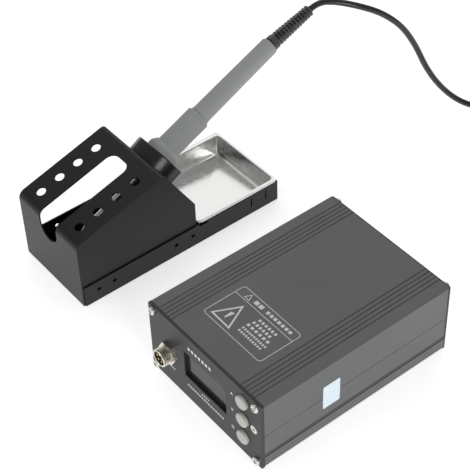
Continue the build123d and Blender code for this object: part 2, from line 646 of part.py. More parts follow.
def build():
    solids = {
        "top_shell": unit * top_shell(),
        "bottom_shell": unit * bottom_shell(),
        "front_panel": unit * front_panel(),
        "rear_panel": unit * rear_panel(),
        "front_panel_screws": front_panel_screws(),
        "rear_panel_screws": rear_panel_screws(),
        "spacer_screw": unit * spacer_screw(),
        "display_window": unit * display_window(),
        "display_module": unit * display_module(),
        "control_board": unit * control_board(),
        "board_spacers": board_spacers(),
        "tact_switches": tact_switches(),
        "iron_socket_shell": unit * socket_shell(),
        "iron_socket_nut": unit * socket_nut(),
        "iron_socket_insert": unit * socket_insert(),
        "iron_socket_pins": socket_pins(),
        "mains_inlet": unit * mains_inlet(),
        "mains_inlet_pins": mains_inlet_pins(),
        "mains_inlet_screws": mains_inlet_screws(),
        "power_switch_frame": unit * switch_frame(),
        "power_switch_rocker": unit * switch_rocker(),
        "power_switch_terminals": switch_terminals(),
        "power_board": unit * power_board(),
        "power_board_spacers": power_board_spacers(),
        "power_transformer": unit * transformer(),
        "power_capacitors": capacitors(),
        "heat_sinks": heat_sinks(),
        "mains_fuse": unit * mains_fuse(),
        "mains_wires": mains_wires(),
        "socket_wires": socket_wires(),
        "side_sticker": unit * side_sticker(),
        "stand_cover": stand * stand_cover(),
        "stand_base": stand * stand_base(),
        "holder_ring": stand * holder_ring(),
        "holder_nut": stand * holder_nut(),
        "solder_tray": stand * solder_tray(),
        "iron_cartridge": iron_axis() * iron_cartridge(),
        "iron_nose_nut": iron_axis() * iron_nose_nut(),
        "iron_collar": iron_axis() * iron_collar(),
        "iron_grip": iron_axis() * iron_grip(),
        "iron_handle": iron_axis() * iron_handle(),
        "iron_contact_block": iron_axis() * iron_contact_block(),
        "iron_wires": iron_wires(),
        "iron_strain_relief": iron_axis() * iron_strain_relief(),
        "iron_cord": iron_cord(),
        "cord_coil": cord_coil(),
        "cord_tie": cord_tie(),
        "cord_tail": cord_tail(),
        "plug_body": plug_body(),
        "plug_coupling_ring": plug_coupling_ring(),
        "plug_insert": plug_insert(),
        "plug_clamp": plug_clamp(),
    }
    for name, z in zip(BUTTON_NAMES, button_heights()):
        solids[name] = unit * button_cap(z)
    return solids


os.makedirs("parts", exist_ok=True)
for name, solid in build().items():
    solid.label = name
    export_step(solid, f"parts/{name}.step")
path = cord_path()
print("cord corner radii, mm:", [round(r, 1) for r in corner_radii(cord_route())])
print("cord tube length, mm:", round(path.length, 1), "left for the coil:", round(CORD_LENGTH - path.length))
print("tube volume, mm3:", round(iron_cord().volume), "section times length:",
      round(path.length * pi * CORD_D ** 2 / 4))
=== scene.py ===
"""Looks of the soldering station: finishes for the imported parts, and finished pieces for the cord,
the iron, the tray, the socket and the printed marks. Metres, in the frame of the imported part."""
import json
import math

import bpy
from mathutils import Matrix, Vector


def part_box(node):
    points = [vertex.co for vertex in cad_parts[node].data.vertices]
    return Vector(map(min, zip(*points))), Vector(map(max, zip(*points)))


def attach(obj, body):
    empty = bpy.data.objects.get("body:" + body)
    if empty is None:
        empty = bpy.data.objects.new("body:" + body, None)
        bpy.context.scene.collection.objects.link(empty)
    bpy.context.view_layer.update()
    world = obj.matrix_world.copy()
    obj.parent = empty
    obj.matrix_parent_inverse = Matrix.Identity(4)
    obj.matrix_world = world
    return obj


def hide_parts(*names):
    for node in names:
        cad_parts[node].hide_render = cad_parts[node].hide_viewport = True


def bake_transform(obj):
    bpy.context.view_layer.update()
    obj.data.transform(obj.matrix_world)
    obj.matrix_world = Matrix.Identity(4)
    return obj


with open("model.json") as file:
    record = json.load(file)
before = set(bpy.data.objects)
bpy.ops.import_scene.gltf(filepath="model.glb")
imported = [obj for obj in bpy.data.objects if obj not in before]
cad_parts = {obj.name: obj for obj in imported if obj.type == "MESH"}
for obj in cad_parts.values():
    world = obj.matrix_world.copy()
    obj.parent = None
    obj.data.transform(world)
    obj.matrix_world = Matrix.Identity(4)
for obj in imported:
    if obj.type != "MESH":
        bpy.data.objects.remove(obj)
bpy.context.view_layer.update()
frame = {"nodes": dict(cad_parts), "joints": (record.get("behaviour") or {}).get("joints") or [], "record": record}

MM = 0.001


def mm(*values):
    return Vector([value * MM for value in values])


NODES = frame["nodes"]
UNIT_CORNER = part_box("front_panel")[0]
STAND_CORNER = Vector((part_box("stand_base")[0].x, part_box("stand_cover")[0].y, 0))
IRON_AXIS = Vector(frame["joints"][0]["axis"])
RING_FACE = STAND_CORNER + mm(34.25, 90.351, 56.985)
CORD_D = 4.4 * MM


def on_unit(x, y, z):
    return UNIT_CORNER + mm(x, y, z)


def iron_place():
    """From a piece drawn up the Z axis, in millimetres from the ring's face, to its place."""
    tilt = math.atan2(IRON_AXIS.z, IRON_AXIS.y) - math.pi / 2
    return Matrix.Translation(RING_FACE) @ Matrix.Rotation(tilt, 4, "X")


RELIEF_FOOT, RELIEF_LENGTH = 104.0, 36.5


def relief_place():
    """The strain relief's tail droops five degrees."""
    droop = Matrix.Rotation(math.radians(-5), 4, "X")
    return iron_place() @ Matrix.Translation(mm(0, 0, RELIEF_FOOT)) @ droop


# ---------------------------------------------------------------- camera
CAMERA_PLACE = on_unit(505.806, -314.382, 673.780)
CAMERA_ANGLES = 53.0126, 43.7061, -2.2048
CAMERA_LENS = 110.67


def place_camera():
    """A long lens from the front right and above, turned slightly about its own axis."""
    azimuth, elevation, roll = [math.radians(angle) for angle in CAMERA_ANGLES]
    back = Vector((math.sin(azimuth) * math.cos(elevation),
                   -math.cos(azimuth) * math.cos(elevation), math.sin(elevation)))
    right = Vector((math.cos(azimuth), math.sin(azimuth), 0))
    up = back.cross(right)
    across = right * math.cos(roll) + up * math.sin(roll)
    upward = up * math.cos(roll) - right * math.sin(roll)
    camera = bpy.data.objects.new("camera", bpy.data.cameras.new("camera"))
    bpy.context.scene.collection.objects.link(camera)
    turn = Matrix((across, upward, back)).transposed().to_4x4()
    camera.matrix_world = Matrix.Translation(CAMERA_PLACE) @ turn
    camera.data.lens = CAMERA_LENS
    camera.data.clip_end = 20
    bpy.context.scene.camera = camera


# ---------------------------------------------------------------- shaping tools
def only(piece):
    """Leaves just this piece selected and active, in object mode."""
    bpy.ops.object.select_all(action="DESELECT")
    piece.select_set(True)
    bpy.context.view_layer.objects.active = piece


def new_piece(name):
    piece = bpy.context.object
    piece.name = piece.data.name = name
    return piece


def settle(piece, place=None):
    """Puts the piece's place into its mesh, after an optional move."""
    if place:
        piece.matrix_world = place @ piece.matrix_world
    only(piece)
    bpy.ops.object.transform_apply(location=True, rotation=True, scale=True)
    return piece


def block(name, low, high):
    bpy.ops.object.select_all(action="DESELECT")
    bpy.ops.mesh.primitive_cube_add(size=1, location=(low + high) / 2, scale=high - low)
    return settle(new_piece(name))


def pick(piece, test, kind="FACE"):
    """Enters edit mode with the faces, or points, whose place and normal pass the test."""
    only(piece)
    bpy.ops.object.mode_set(mode="EDIT")
    bpy.ops.mesh.select_mode(type=kind)
    bpy.ops.mesh.select_all(action="DESELECT")
    bpy.ops.object.mode_set(mode="OBJECT")
    if kind == "FACE":
        for face in piece.data.polygons:
            face.select = test(face.center, face.normal)
    else:
        for point in piece.data.vertices:
            point.select = test(point.co, point.normal)
    bpy.ops.object.mode_set(mode="EDIT")


def done():
    bpy.ops.object.mode_set(mode="OBJECT")


def smooth(piece, degrees=32):
    only(piece)
    bpy.ops.object.shade_smooth_by_angle(angle=math.radians(degrees))
    return piece


def modify(piece, kind, **settings):
    """Adds a modifier with these settings and applies it."""
    only(piece)
    modifier = piece.modifiers.new(kind.lower(), kind)
    for name, value in settings.items():
        setattr(modifier, name, value)
    bpy.ops.object.modifier_apply(modifier=modifier.name)
    return piece


def rounded(piece, width):
    return modify(piece, "BEVEL", width=width, segments=2, limit_method="ANGLE",
                  angle_limit=math.radians(40), use_clamp_overlap=True)


def copied(piece, move):
    """Another of the same piece, with its own mesh, moved into place."""
    other = bpy.data.objects.new(piece.name, piece.data.copy())
    bpy.context.scene.collection.objects.link(other)
    return settle(other, move)


def joined(name, pieces):
    only(pieces[0])
    for piece in pieces[1:]:
        piece.select_set(True)
    if len(pieces) > 1:
        bpy.ops.object.join()
    return new_piece(name)


def turned(name, profile, sides=64):
    """A closed solid turned about Z, drawn up through (radius, height) steps in millimetres."""
    radius, height = profile[0]
    bpy.ops.object.select_all(action="DESELECT")
    bpy.ops.mesh.primitive_circle_add(vertices=sides, radius=radius * MM, fill_type="NGON")
    piece = new_piece(name)
    bpy.ops.object.mode_set(mode="EDIT")
    bpy.ops.mesh.select_all(action="SELECT")
    bpy.ops.transform.translate(value=mm(0, 0, height))
    for new_radius, new_height in profile[1:]:
        bpy.ops.mesh.extrude_region_move(
            TRANSFORM_OT_translate={"value": mm(0, 0, new_height - height)})
        if new_radius != radius:
            share = new_radius / radius
            bpy.ops.transform.resize(value=(share, share, 1), center_override=mm(0, 0, new_height))
        radius, height = new_radius, new_height
    bpy.ops.mesh.select_all(action="SELECT")
    bpy.ops.mesh.normals_make_consistent(inside=False)
    done()
    return piece


def finished_copy(node, width):
    """The node's own shape with its sharp edges rounded over, which then stands for the node."""
    piece = bpy.data.objects.new(node + "_finished", NODES[node].data.copy())
    bpy.context.scene.collection.objects.link(piece)
    only(piece)
    bpy.ops.mesh.customdata_custom_splitnormals_clear()
    bpy.ops.object.mode_set(mode="EDIT")
    bpy.ops.mesh.select_all(action="SELECT")
    bpy.ops.mesh.remove_doubles(threshold=0.002 * MM)
    bpy.ops.mesh.dissolve_limited(angle_limit=math.radians(1))
    done()
    rounded(piece, width * MM)
    smooth(piece)
    return modify(piece, "WEIGHTED_NORMAL", weight=100, keep_sharp=True)


# ---------------------------------------------------------------- shader tools
class Value:
    """One output of a shader node. Sums and products of it add Math nodes."""

    def __init__(self, paint, socket):
        self.paint, self.socket = paint, socket

    def math(self, operation, *others):
        sockets = dict(enumerate((self, *others)))
        return self.paint.node("ShaderNodeMath", {"operation": operation}, sockets)

    def __add__(self, other):
        return self.math("ADD", other)

    def __mul__(self, other):
        return self.math("MULTIPLY", other)

    __radd__, __rmul__ = __add__, __mul__


class Paint:
    """A material under construction, with its Principled shader."""

    def __init__(self, name, fixed):
        self.material = bpy.data.materials.new(name)
        self.material.use_nodes = True
        self.tree = self.material.node_tree
        self.shader = self.tree.nodes["Principled BSDF"]
        for socket, value in fixed.items():
            self.shader.inputs[socket].default_value = value

    def node(self, kind, settings=None, sockets=None, output=0):
        made = self.tree.nodes.new(kind)
        for name, value in (settings or {}).items():
            setattr(made, name, value)
        for key, value in (sockets or {}).items():
            if isinstance(value, Value):
                self.tree.links.new(value.socket, made.inputs[key])
            else:
                made.inputs[key].default_value = value
        return Value(self, made.outputs[output])

    def place(self, scale=(1, 1, 1)):
        """The point on the piece in metres, scaled along each axis."""
        where = self.node("ShaderNodeTexCoord", output="Object")
        return self.node("ShaderNodeMapping", {}, {"Vector": where, "Scale": scale})

    def along(self, where, axis):
        return self.node("ShaderNodeSeparateXYZ", {}, {"Vector": where}, output=axis)

    def noise(self, scale, detail, rough=0.5):
        """Cloudy noise with this many waves to the metre, along each axis or all alike."""
        where = self.place(scale if isinstance(scale, tuple) else (scale, scale, scale))
        return self.node("ShaderNodeTexNoise", {},
                         {"Vector": where, "Scale": 1.0, "Detail": detail, "Roughness": rough})

    def cells(self, scale):
        """Small cells, this many to the metre."""
        return self.node("ShaderNodeTexVoronoi", {},
                         {"Vector": self.place((scale, scale, scale)), "Scale": 1.0})

    def spread(self, value, low, high, to_low=0.0, to_high=1.0):
        """Maps low..high smoothly to to_low..to_high."""
        return self.node("ShaderNodeMapRange", {"interpolation_type": "SMOOTHSTEP"},
                         {"Value": value, "From Min": low, "From Max": high,
                          "To Min": to_low, "To Max": to_high})

    def mix(self, share, one, other):
        """Between two colours, by share."""
        colours = [c if isinstance(c, Value) else (*c, 1) for c in (one, other)]
        return self.node("ShaderNodeMix", {"data_type": "RGBA"},
                         {0: share, 6: colours[0], 7: colours[1]}, output=2)

    def feed(self, **sockets):
        for name, value in sockets.items():
            self.tree.links.new(value.socket, self.shader.inputs[name.replace("_", " ")])
        return self

    def bump(self, height, depth):
        """Raises the surface by height times depth, in millimetres."""
        normal = self.node("ShaderNodeBump", {}, {"Height": height, "Distance": depth * MM,
                                                  "Strength": 1.0})
        return self.feed(Normal=normal)


# ---------------------------------------------------------------- finishes
def dark_anodised():
    """Satin dark grey aluminium, with fine lines drawn along the extrusion."""
    paint = Paint("dark_anodised", {"Metallic": 0.35})
    lines = paint.noise((2600, 14, 2600), 3.0)
    cloud = paint.noise(38, 4.0)
    grain = paint.noise(5200, 2.0)
    tone = paint.spread(lines * 0.6 + cloud * 0.4, 0.3, 0.7)
    paint.feed(Base_Color=paint.mix(tone, (0.124, 0.125, 0.128), (0.142, 0.143, 0.146)),
               Roughness=paint.spread(lines * 0.4 + grain * 0.6, 0.3, 0.7, 0.4, 0.52))
    return paint.bump(lines * 0.4 + grain * 0.6, 0.006).material


def panel_anodised():
    """The flat end panels: the same finish, blasted, so without lines, and darker, as painted shade on the unit's
    end faces.
    """
    paint = Paint("panel_anodised", {"Metallic": 0.35, "Specular IOR Level": 0.35})
    grain = paint.noise(4200, 3.0)
    cloud = paint.noise(42, 3.0)
    paint.feed(Base_Color=paint.mix(cloud, (0.04, 0.041, 0.043), (0.05, 0.051, 0.053)),
               Roughness=paint.spread(grain, 0.3, 0.7, 0.4, 0.54))
    return paint.bump(grain, 0.014).material


def plated_screw():
    """Bright zinc with faint turning marks and darker recesses of handling."""
    paint = Paint("plated_screw", {"Metallic": 1.0})
    wear = paint.noise(900, 4.0)
    paint.feed(Base_Color=paint.mix(wear, (0.56, 0.54, 0.49), (0.83, 0.81, 0.76)),
               Roughness=paint.spread(wear, 0.3, 0.7, 0.2, 0.36))
    return paint.bump(wear, 0.02).material


def nickel():
    """Warm nickel plate on the socket and the plug."""
    paint = Paint("nickel", {"Metallic": 1.0})
    wear = paint.noise(500, 5.0)
    paint.feed(Base_Color=paint.mix(wear, (0.6, 0.57, 0.5), (0.82, 0.79, 0.72)),
               Roughness=paint.spread(wear, 0.3, 0.75, 0.14, 0.32))
    return paint.bump(wear, 0.01).material


def display_grey():
    """A dark, smooth acrylic sheet that mirrors softly."""
    paint = Paint("display_grey", {"Specular IOR Level": 0.3})
    haze = paint.noise(60, 3.0)
    paint.feed(Base_Color=paint.mix(haze, (0.026, 0.026, 0.028), (0.034, 0.034, 0.036)),
               Roughness=paint.spread(haze, 0.3, 0.7, 0.12, 0.2))
    return paint.material


def moulded(name, dark, light, rough, grain_size=0.5, depth=0.02):
    """Satin moulded plastic: a fine sparked grain and a little cloud in its colour."""
    paint = Paint(name, {"Specular IOR Level": 0.45})
    fine = 1000 / grain_size
    grain = paint.noise(fine, 3.0)
    cloud = paint.noise(55, 3.0)
    paint.feed(Base_Color=paint.mix(cloud * 0.7 + grain * 0.3, dark, light),
               Roughness=paint.spread(grain, 0.3, 0.7, rough - 0.06, rough + 0.06))
    return paint.bump(grain, depth).material


def rubber(name, dark, light, rough):
    """Soft rubber or silicone: smooth, with slight dust in its colour."""
    paint = Paint(name, {"Specular IOR Level": 0.5})
    dust = paint.noise(220, 5.0, 0.6)
    skin = paint.noise(1800, 2.0)
    paint.feed(Base_Color=paint.mix(paint.spread(dust, 0.35, 0.7), dark, light),
               Roughness=paint.spread(dust * 0.5 + skin * 0.5, 0.3, 0.7, rough - 0.06, rough + 0.08))
    return paint.bump(skin, 0.012).material


def powder_coat():
    """Satin black powder coat with its fine orange-peel skin."""
    paint = Paint("powder_coat", {"Specular IOR Level": 0.3})
    peel = paint.noise(1100, 2.0, 0.4)
    cloud = paint.noise(26, 4.0)
    speck = paint.cells(1500)
    paint.feed(Base_Color=paint.mix(cloud, (0.008, 0.008, 0.0085), (0.014, 0.014, 0.0145)),
               Roughness=paint.spread(peel * 0.6 + speck * 0.4, 0.2, 0.7, 0.33, 0.46))
    return paint.bump(peel * 0.8 + speck * 0.2, 0.02).material


def tinplate():
    """Bright tinplate: soft spangle, rolling lines and small dents."""
    paint = Paint("tinplate", {"Metallic": 1.0})
    roll = paint.noise((900, 26, 900), 3.0)
    spangle = paint.cells(260)
    dents = paint.noise(90, 3.0)
    paint.feed(Base_Color=paint.mix(roll * 0.5 + spangle * 0.5, (0.75, 0.755, 0.74), (0.84, 0.84, 0.825)),
               Roughness=paint.spread(spangle * 0.4 + roll * 0.6, 0.2, 0.7, 0.13, 0.24))
    return paint.bump(dents * 0.8 + roll * 0.2, 0.04).material


def tip_steel():
    """The heater's steel: bright at the shaft, straw and blue heat colours at its tip."""
    paint = Paint("tip_steel", {"Metallic": 1.0})
    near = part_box("iron_cartridge")[0].y
    heat = paint.spread(paint.along(paint.place(), "Y"), near, near + 22 * MM)
    drawn = paint.noise((1800, 60, 1800), 3.0)
    hot = paint.mix(drawn, (0.3, 0.22, 0.16), (0.25, 0.27, 0.36))
    paint.feed(Base_Color=paint.mix(heat, hot, (0.72, 0.71, 0.69)),
               Roughness=paint.spread(drawn, 0.3, 0.7, 0.18, 0.32))
    return paint.bump(drawn, 0.01).material


def handle_grey():
    """Matt mid-grey handle moulding with a fine sparked skin."""
    paint = Paint("handle_grey", {"Specular IOR Level": 0.4})
    grain = paint.noise(2400, 3.0)
    cloud = paint.noise(60, 4.0)
    paint.feed(Base_Color=paint.mix(cloud * 0.6 + grain * 0.4, (0.335, 0.348, 0.342), (0.4, 0.415, 0.409)),
               Roughness=paint.spread(grain, 0.3, 0.7, 0.46, 0.6))
    return paint.bump(grain, 0.03).material


def sticker():
    """Pale vinyl with a faint blue ruled pattern."""
    paint = Paint("sticker_pale", {"Coat Weight": 0.3, "Coat Roughness": 0.2})
    where = paint.place()
    rules = [paint.spread((paint.along(where, axis) * pitch).math("FRACT"), 0.8, 0.95)
             for axis, pitch in (("Y", 460), ("Z", 420))]
    soft = paint.noise(300, 3.0)
    mask = (rules[0] + rules[1]).math("MINIMUM", 1.0) * 0.55 + soft * 0.2
    paint.feed(Base_Color=paint.mix(mask, (0.86, 0.95, 1.0), (0.45, 0.7, 0.84)),
               Roughness=paint.spread(soft, 0.3, 0.7, 0.3, 0.45))
    return paint.material


def board_green():
    """Solder mask over copper tracks, with a weave below."""
    paint = Paint("board_green", {"Coat Weight": 0.4, "Coat Roughness": 0.15})
    tracks = paint.cells(240)
    weave = paint.noise(1500, 1.0)
    paint.feed(Base_Color=paint.mix(paint.spread(tracks, 0.3, 0.45), (0.02, 0.1, 0.05), (0.05, 0.17, 0.08)),
               Roughness=paint.spread(weave, 0.3, 0.7, 0.3, 0.45))
    return paint.bump(tracks, 0.03).material


def bare_metal(name, dark, light, rough):
    """Mill-finished or plated metal with drawn lines."""
    paint = Paint(name, {"Metallic": 1.0})
    lines = paint.noise((1400, 90, 1400), 3.0)
    paint.feed(Base_Color=paint.mix(lines, dark, light),
               Roughness=paint.spread(lines, 0.3, 0.7, rough - 0.07, rough + 0.07))
    return paint.bump(lines, 0.01).material


def printed_ink():
    """Silk-screened pale grey ink."""
    paint = Paint("printed_ink", {"Specular IOR Level": 0.3})
    speck = paint.noise(2600, 3.0)
    paint.feed(Base_Color=paint.mix(paint.spread(speck, 0.35, 0.6), (0.72, 0.72, 0.71), (0.86, 0.86, 0.85)),
               Roughness=paint.spread(speck, 0.3, 0.7, 0.5, 0.65))
    return paint.material


FINISHES = {
    "anodised": dark_anodised(),
    "screw_steel": plated_screw(),
    "display_black": display_grey(),
    "circuit_board": board_green(),
    "button_grey": moulded("button_grey", (0.5, 0.49, 0.45), (0.6, 0.59, 0.545), 0.42, 0.6, 0.015),
    "black_plastic": moulded("black_plastic", (0.012, 0.012, 0.012), (0.026, 0.026, 0.027), 0.42),
    "nickel": nickel(),
    "contact_brass": bare_metal("contact_plate", (0.75, 0.62, 0.32), (0.9, 0.78, 0.48), 0.25),
    "winding": moulded("winding_tape", (0.3, 0.22, 0.06), (0.45, 0.34, 0.1), 0.4),
    "capacitor_sleeve": moulded("capacitor_sleeve", (0.015, 0.018, 0.05), (0.03, 0.035, 0.08), 0.3),
    "bare_aluminium": bare_metal("bare_aluminium", (0.62, 0.62, 0.63), (0.78, 0.78, 0.79), 0.34),
    "wire_sleeve": rubber("wire_sleeve", (0.2, 0.02, 0.02), (0.3, 0.05, 0.04), 0.4),
    "sticker": sticker(),
    "stand_black": powder_coat(),
    "ring_black": moulded("ring_black", (0.01, 0.01, 0.01), (0.018, 0.018, 0.018), 0.24, 0.8, 0.008),
    "tinplate": tinplate(),
    "tip_steel": tip_steel(),
    "handle_grey": handle_grey(),
    "relief_black": rubber("relief_black", (0.045, 0.045, 0.047), (0.085, 0.085, 0.088), 0.32),
    "cord_black": rubber("cord_black", (0.012, 0.012, 0.013), (0.024, 0.024, 0.026), 0.22),
}
# The end panels' darker copy of the anodised finish is painted shade.
SHADED_PANEL_FINISH = panel_anodised()
INK = printed_ink()


def finish(piece, slot, material=None):
    """Gives a new piece the finish of a material slot, or a variant of it."""
    piece.data.materials.clear()
    piece.data.materials.append(material or FINISHES[slot])
    return piece


def finish_nodes():
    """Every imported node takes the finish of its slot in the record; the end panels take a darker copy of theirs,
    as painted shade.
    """
    for row in frame["record"]["subparts"]:
        node = NODES[row["node"]]
        material = SHADED_PANEL_FINISH if row["node"].endswith("_panel") else FINISHES[row["material_slot"]]
        if not node.material_slots:
            node.data.materials.append(material)
        for slot in node.material_slots:
            slot.material = material


# ---------------------------------------------------------------- cord
FREE_ROUTE = [(-86.4, 110.01, 113.42), (-86.4, 117.053, 115.986), (-81.5, 128.7, 113.8),
              (-71.0, 141.8, 109.4), (-64.6, 156.1, 100.8), (-59.1, 170.5, 86.2), (-55.1, 181.0, 67.0),
              (-51.3, 188.9, 46.0), (-45.9, 199.4, 27.0), (-39.1, 212.4, 11.5), (-32.4, 226.4, 2.3),
              (-27.6, 238.4, 2.3), (-25.1, 250.4, 2.3)]
COIL_CENTRE = (6.2, 241.4)
COIL_LANE, COIL_PITCH = 30.95, 4.55
COIL_LOW, COIL_RISE = 3.1, 4.7
COIL_STEPS = 20
PLUG_Y, PLUG_Z = 219.4, 7.6
BEND_START, BEND_END = (-86.4, 117.1, 116.0), (-39.1, 212.4, 11.5)


def ramp(angle, start):
    """Rises smoothly from 0 to 1 over sixty degrees of the cord's way round."""
    share = min(max((angle - start) / 60, 0), 1)
    return share * share * (3 - 2 * share)


def coil_route():
    """Three lanes on the table, winding in, then three lanes on top of them, winding out."""
    start_x, start_y, _ = FREE_ROUTE[-1]
    first = math.degrees(math.atan2(start_y - COIL_CENTRE[1], start_x - COIL_CENTRE[0]))
    whole = 5 * 360 + first
    count = round(whole / 360 * COIL_STEPS)
    points = []
    for i in range(1, count + 1):
        angle = whole * i / count
        inward = ramp(angle, 290) + ramp(angle, 650)
        outward = ramp(angle, 1250) + ramp(angle, 1610)
        radius = COIL_LANE + 1.5 * (1 - ramp(angle, 0)) - COIL_PITCH * (inward - outward)
        height = COIL_LOW + COIL_RISE * ramp(angle, 950) - 0.2 * ramp(angle, whole - 60)
        turn = math.radians(first - angle)
        points.append((COIL_CENTRE[0] + radius * math.cos(turn),
                       COIL_CENTRE[1] + radius * math.sin(turn), height))
    return points


def cord_route():
    east = COIL_CENTRE[0] + COIL_LANE
    return FREE_ROUTE + coil_route() + [(east, COIL_CENTRE[1] - 8, PLUG_Z),
                                        (east, COIL_CENTRE[1] - 16, PLUG_Z), (east, PLUG_Y, PLUG_Z)]


def make_cord():
    curve = bpy.data.curves.new("cord", "CURVE")
    curve.dimensions = "3D"
    curve.resolution_u = 6
    spline = curve.splines.new("NURBS")
    route = cord_route()
    spline.points.add(len(route) - 1)
    for point, place in zip(spline.points, route):
        point.co = (*mm(*place), 1)
    spline.order_u = 3
    spline.use_endpoint_u = True
    cord = bpy.data.objects.new("cord", curve)
    bpy.context.scene.collection.objects.link(cord)
    bare = bpy.data.meshes.new_from_object(cord)
    bpy.data.meshes.remove(bare)
    curve.bevel_depth = CORD_D / 2
    curve.bevel_resolution = 4
    curve.use_fill_caps = True
    only(cord)
    bpy.ops.object.convert(target="MESH")
    cord = new_piece("cord")
    smooth(cord, 60)
    finish(cord, "cord_black")
    mm(*BEND_START)
    mm(*BEND_END)
    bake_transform(cord)
    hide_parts("iron_cord", "cord_coil", "cord_tail")
    mm(*FREE_ROUTE[0])


# ---------------------------------------------------------------- iron
RIBS, RIB_PITCH, RIB_T = 12, 2.55, 1.3
SPINE_ANGLE = -117
COLLAR_SIDES, FLUTE_EVERY, FLUTE_SHARE = 180, 3, 0.975
COLLAR_R, FLUTE_LOW, FLUTE_HIGH = 11.6, -0.7, 2.8


def strain_relief():
    """A collar, then a ladder of ribs on a thin core, tied together by two long spines."""
    neck = [(4.6, 0.1), (5.3, 0.5), (5.3, 3.6), (5.0, 4.4), (4.4, 5.2), (3.4, 5.4)]
    collar = settle(turned("relief_collar", neck, 48), relief_place())
    start = 6.0
    profile = [(3.3, 3.0)]
    for i in range(RIBS):
        low = start + i * RIB_PITCH
        wide = 5.05 - 0.95 * i / (RIBS - 1)
        core = 2.9 - 0.3 * i / (RIBS - 1)
        profile += [(core, low), (wide - 0.15, low), (wide, low + 0.15),
                    (wide, low + RIB_T - 0.15), (wide - 0.15, low + RIB_T), (core, low + RIB_T)]
    profile += [(2.6, RELIEF_LENGTH - 0.1)]
    ribs = settle(turned("relief_ribs", profile, 40), relief_place())
    spine = block("relief_spine", mm(-0.6, 2.2, 3.0), mm(0.6, 4.95, start + RIBS * RIB_PITCH - 0.4))
    pick(spine, lambda place, normal: normal.z > 0.9)
    bpy.ops.transform.translate(value=mm(0, -0.9, 0))
    done()
    rounded(spine, 0.25 * MM)
    turns = [Matrix.Rotation(math.radians(SPINE_ANGLE + half), 4, "Z") for half in (180, 0)]
    other_spine = copied(spine, relief_place() @ turns[1])
    settle(spine, relief_place() @ turns[0])
    relief = joined("strain_relief", [collar, ribs, spine, other_spine])
    smooth(relief)
    finish(relief, "relief_black")
    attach(relief, "iron")
    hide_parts("iron_strain_relief")


def iron_collar():
    """The nose and its broad collar, with fine flutes round it."""
    profile = [(6.9, -13.9), (8.3, -13.9), (8.9, -13.3), (10.3, -9.0), (10.3, -1.8), (11.3, -1.4),
               (11.7, -1.1), (11.75, -0.6), (11.75, 2.7), (11.55, 3.1), (11.0, 4.1), (10.35, 5.2),
               (9.7, 6.1), (9.3, 6.4), (7.0, 6.4)]
    collar = turned("iron_collar_fluted", profile, COLLAR_SIDES)
    step = 2 * math.pi / COLLAR_SIDES

    def on_flute(place, normal):
        at_rim = FLUTE_LOW * MM < place.z < FLUTE_HIGH * MM and place.xy.length > COLLAR_R * MM
        return at_rim and round(math.atan2(place.y, place.x) / step) % FLUTE_EVERY == 0

    pick(collar, on_flute, "VERT")
    bpy.ops.transform.resize(value=(FLUTE_SHARE, FLUTE_SHARE, 1), center_override=(0, 0, 0))
    done()
    settle(collar, iron_place())
    smooth(collar, 30)
    finish(collar, "handle_grey")
    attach(collar, "iron")
    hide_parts("iron_collar")


def iron_grip():
    """The grip sleeve, waisted a little, with a shallow ring groove near its end."""
    profile = [(7.0, 6.42), (8.6, 6.42), (8.65, 7.0), (8.55, 14.0), (8.5, 21.0), (8.55, 28.0), (8.64, 32.6),
               (8.42, 32.8), (8.42, 33.3), (8.65, 33.5), (8.65, 34.4), (8.5, 34.9), (8.1, 35.4), (7.5, 35.9),
               (6.9, 36.0)]
    grip = turned("iron_grip_sleeve", profile, 72)
    settle(grip, iron_place())
    smooth(grip, 25)
    finish(grip, "handle_grey")
    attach(grip, "iron")
    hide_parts("iron_grip")


def iron_body():
    """The handle's long tube, with a step behind the grip and a chamfered end."""
    profile = [(6.6, -13.6), (6.84, -13.4), (6.84, 36.2), (7.1, 36.4), (7.1, 37.3), (6.84, 37.6), (6.8, 45.0),
               (6.62, 68.0), (6.42, 90.0), (6.32, 102.5), (6.2, 103.0), (5.7, 103.7), (5.25, 103.95),
               (4.2, 103.95)]
    body = turned("iron_handle_body", profile, 72)
    settle(body, iron_place())
    smooth(body, 25)
    finish(body, "handle_grey")
    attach(body, "iron")
    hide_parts("iron_handle")


# ---------------------------------------------------------------- tray
TRAY_WIDTH, TRAY_LENGTH, TRAY_CORNER = 49.5, 53.0, 2.2
TRAY_FLOOR, TRAY_WALL, TRAY_SHEET = 0.8, 0.5, 0.4


def pick_open_edge():
    """Selects the open edge all round the sheet, ready to be drawn out further."""
    bpy.ops.mesh.select_mode(type="EDGE")
    bpy.ops.mesh.select_all(action="DESELECT")
    bpy.ops.mesh.select_non_manifold(extend=False, use_wire=False, use_multi_face=False,
                                     use_non_contiguous=False, use_verts=False)


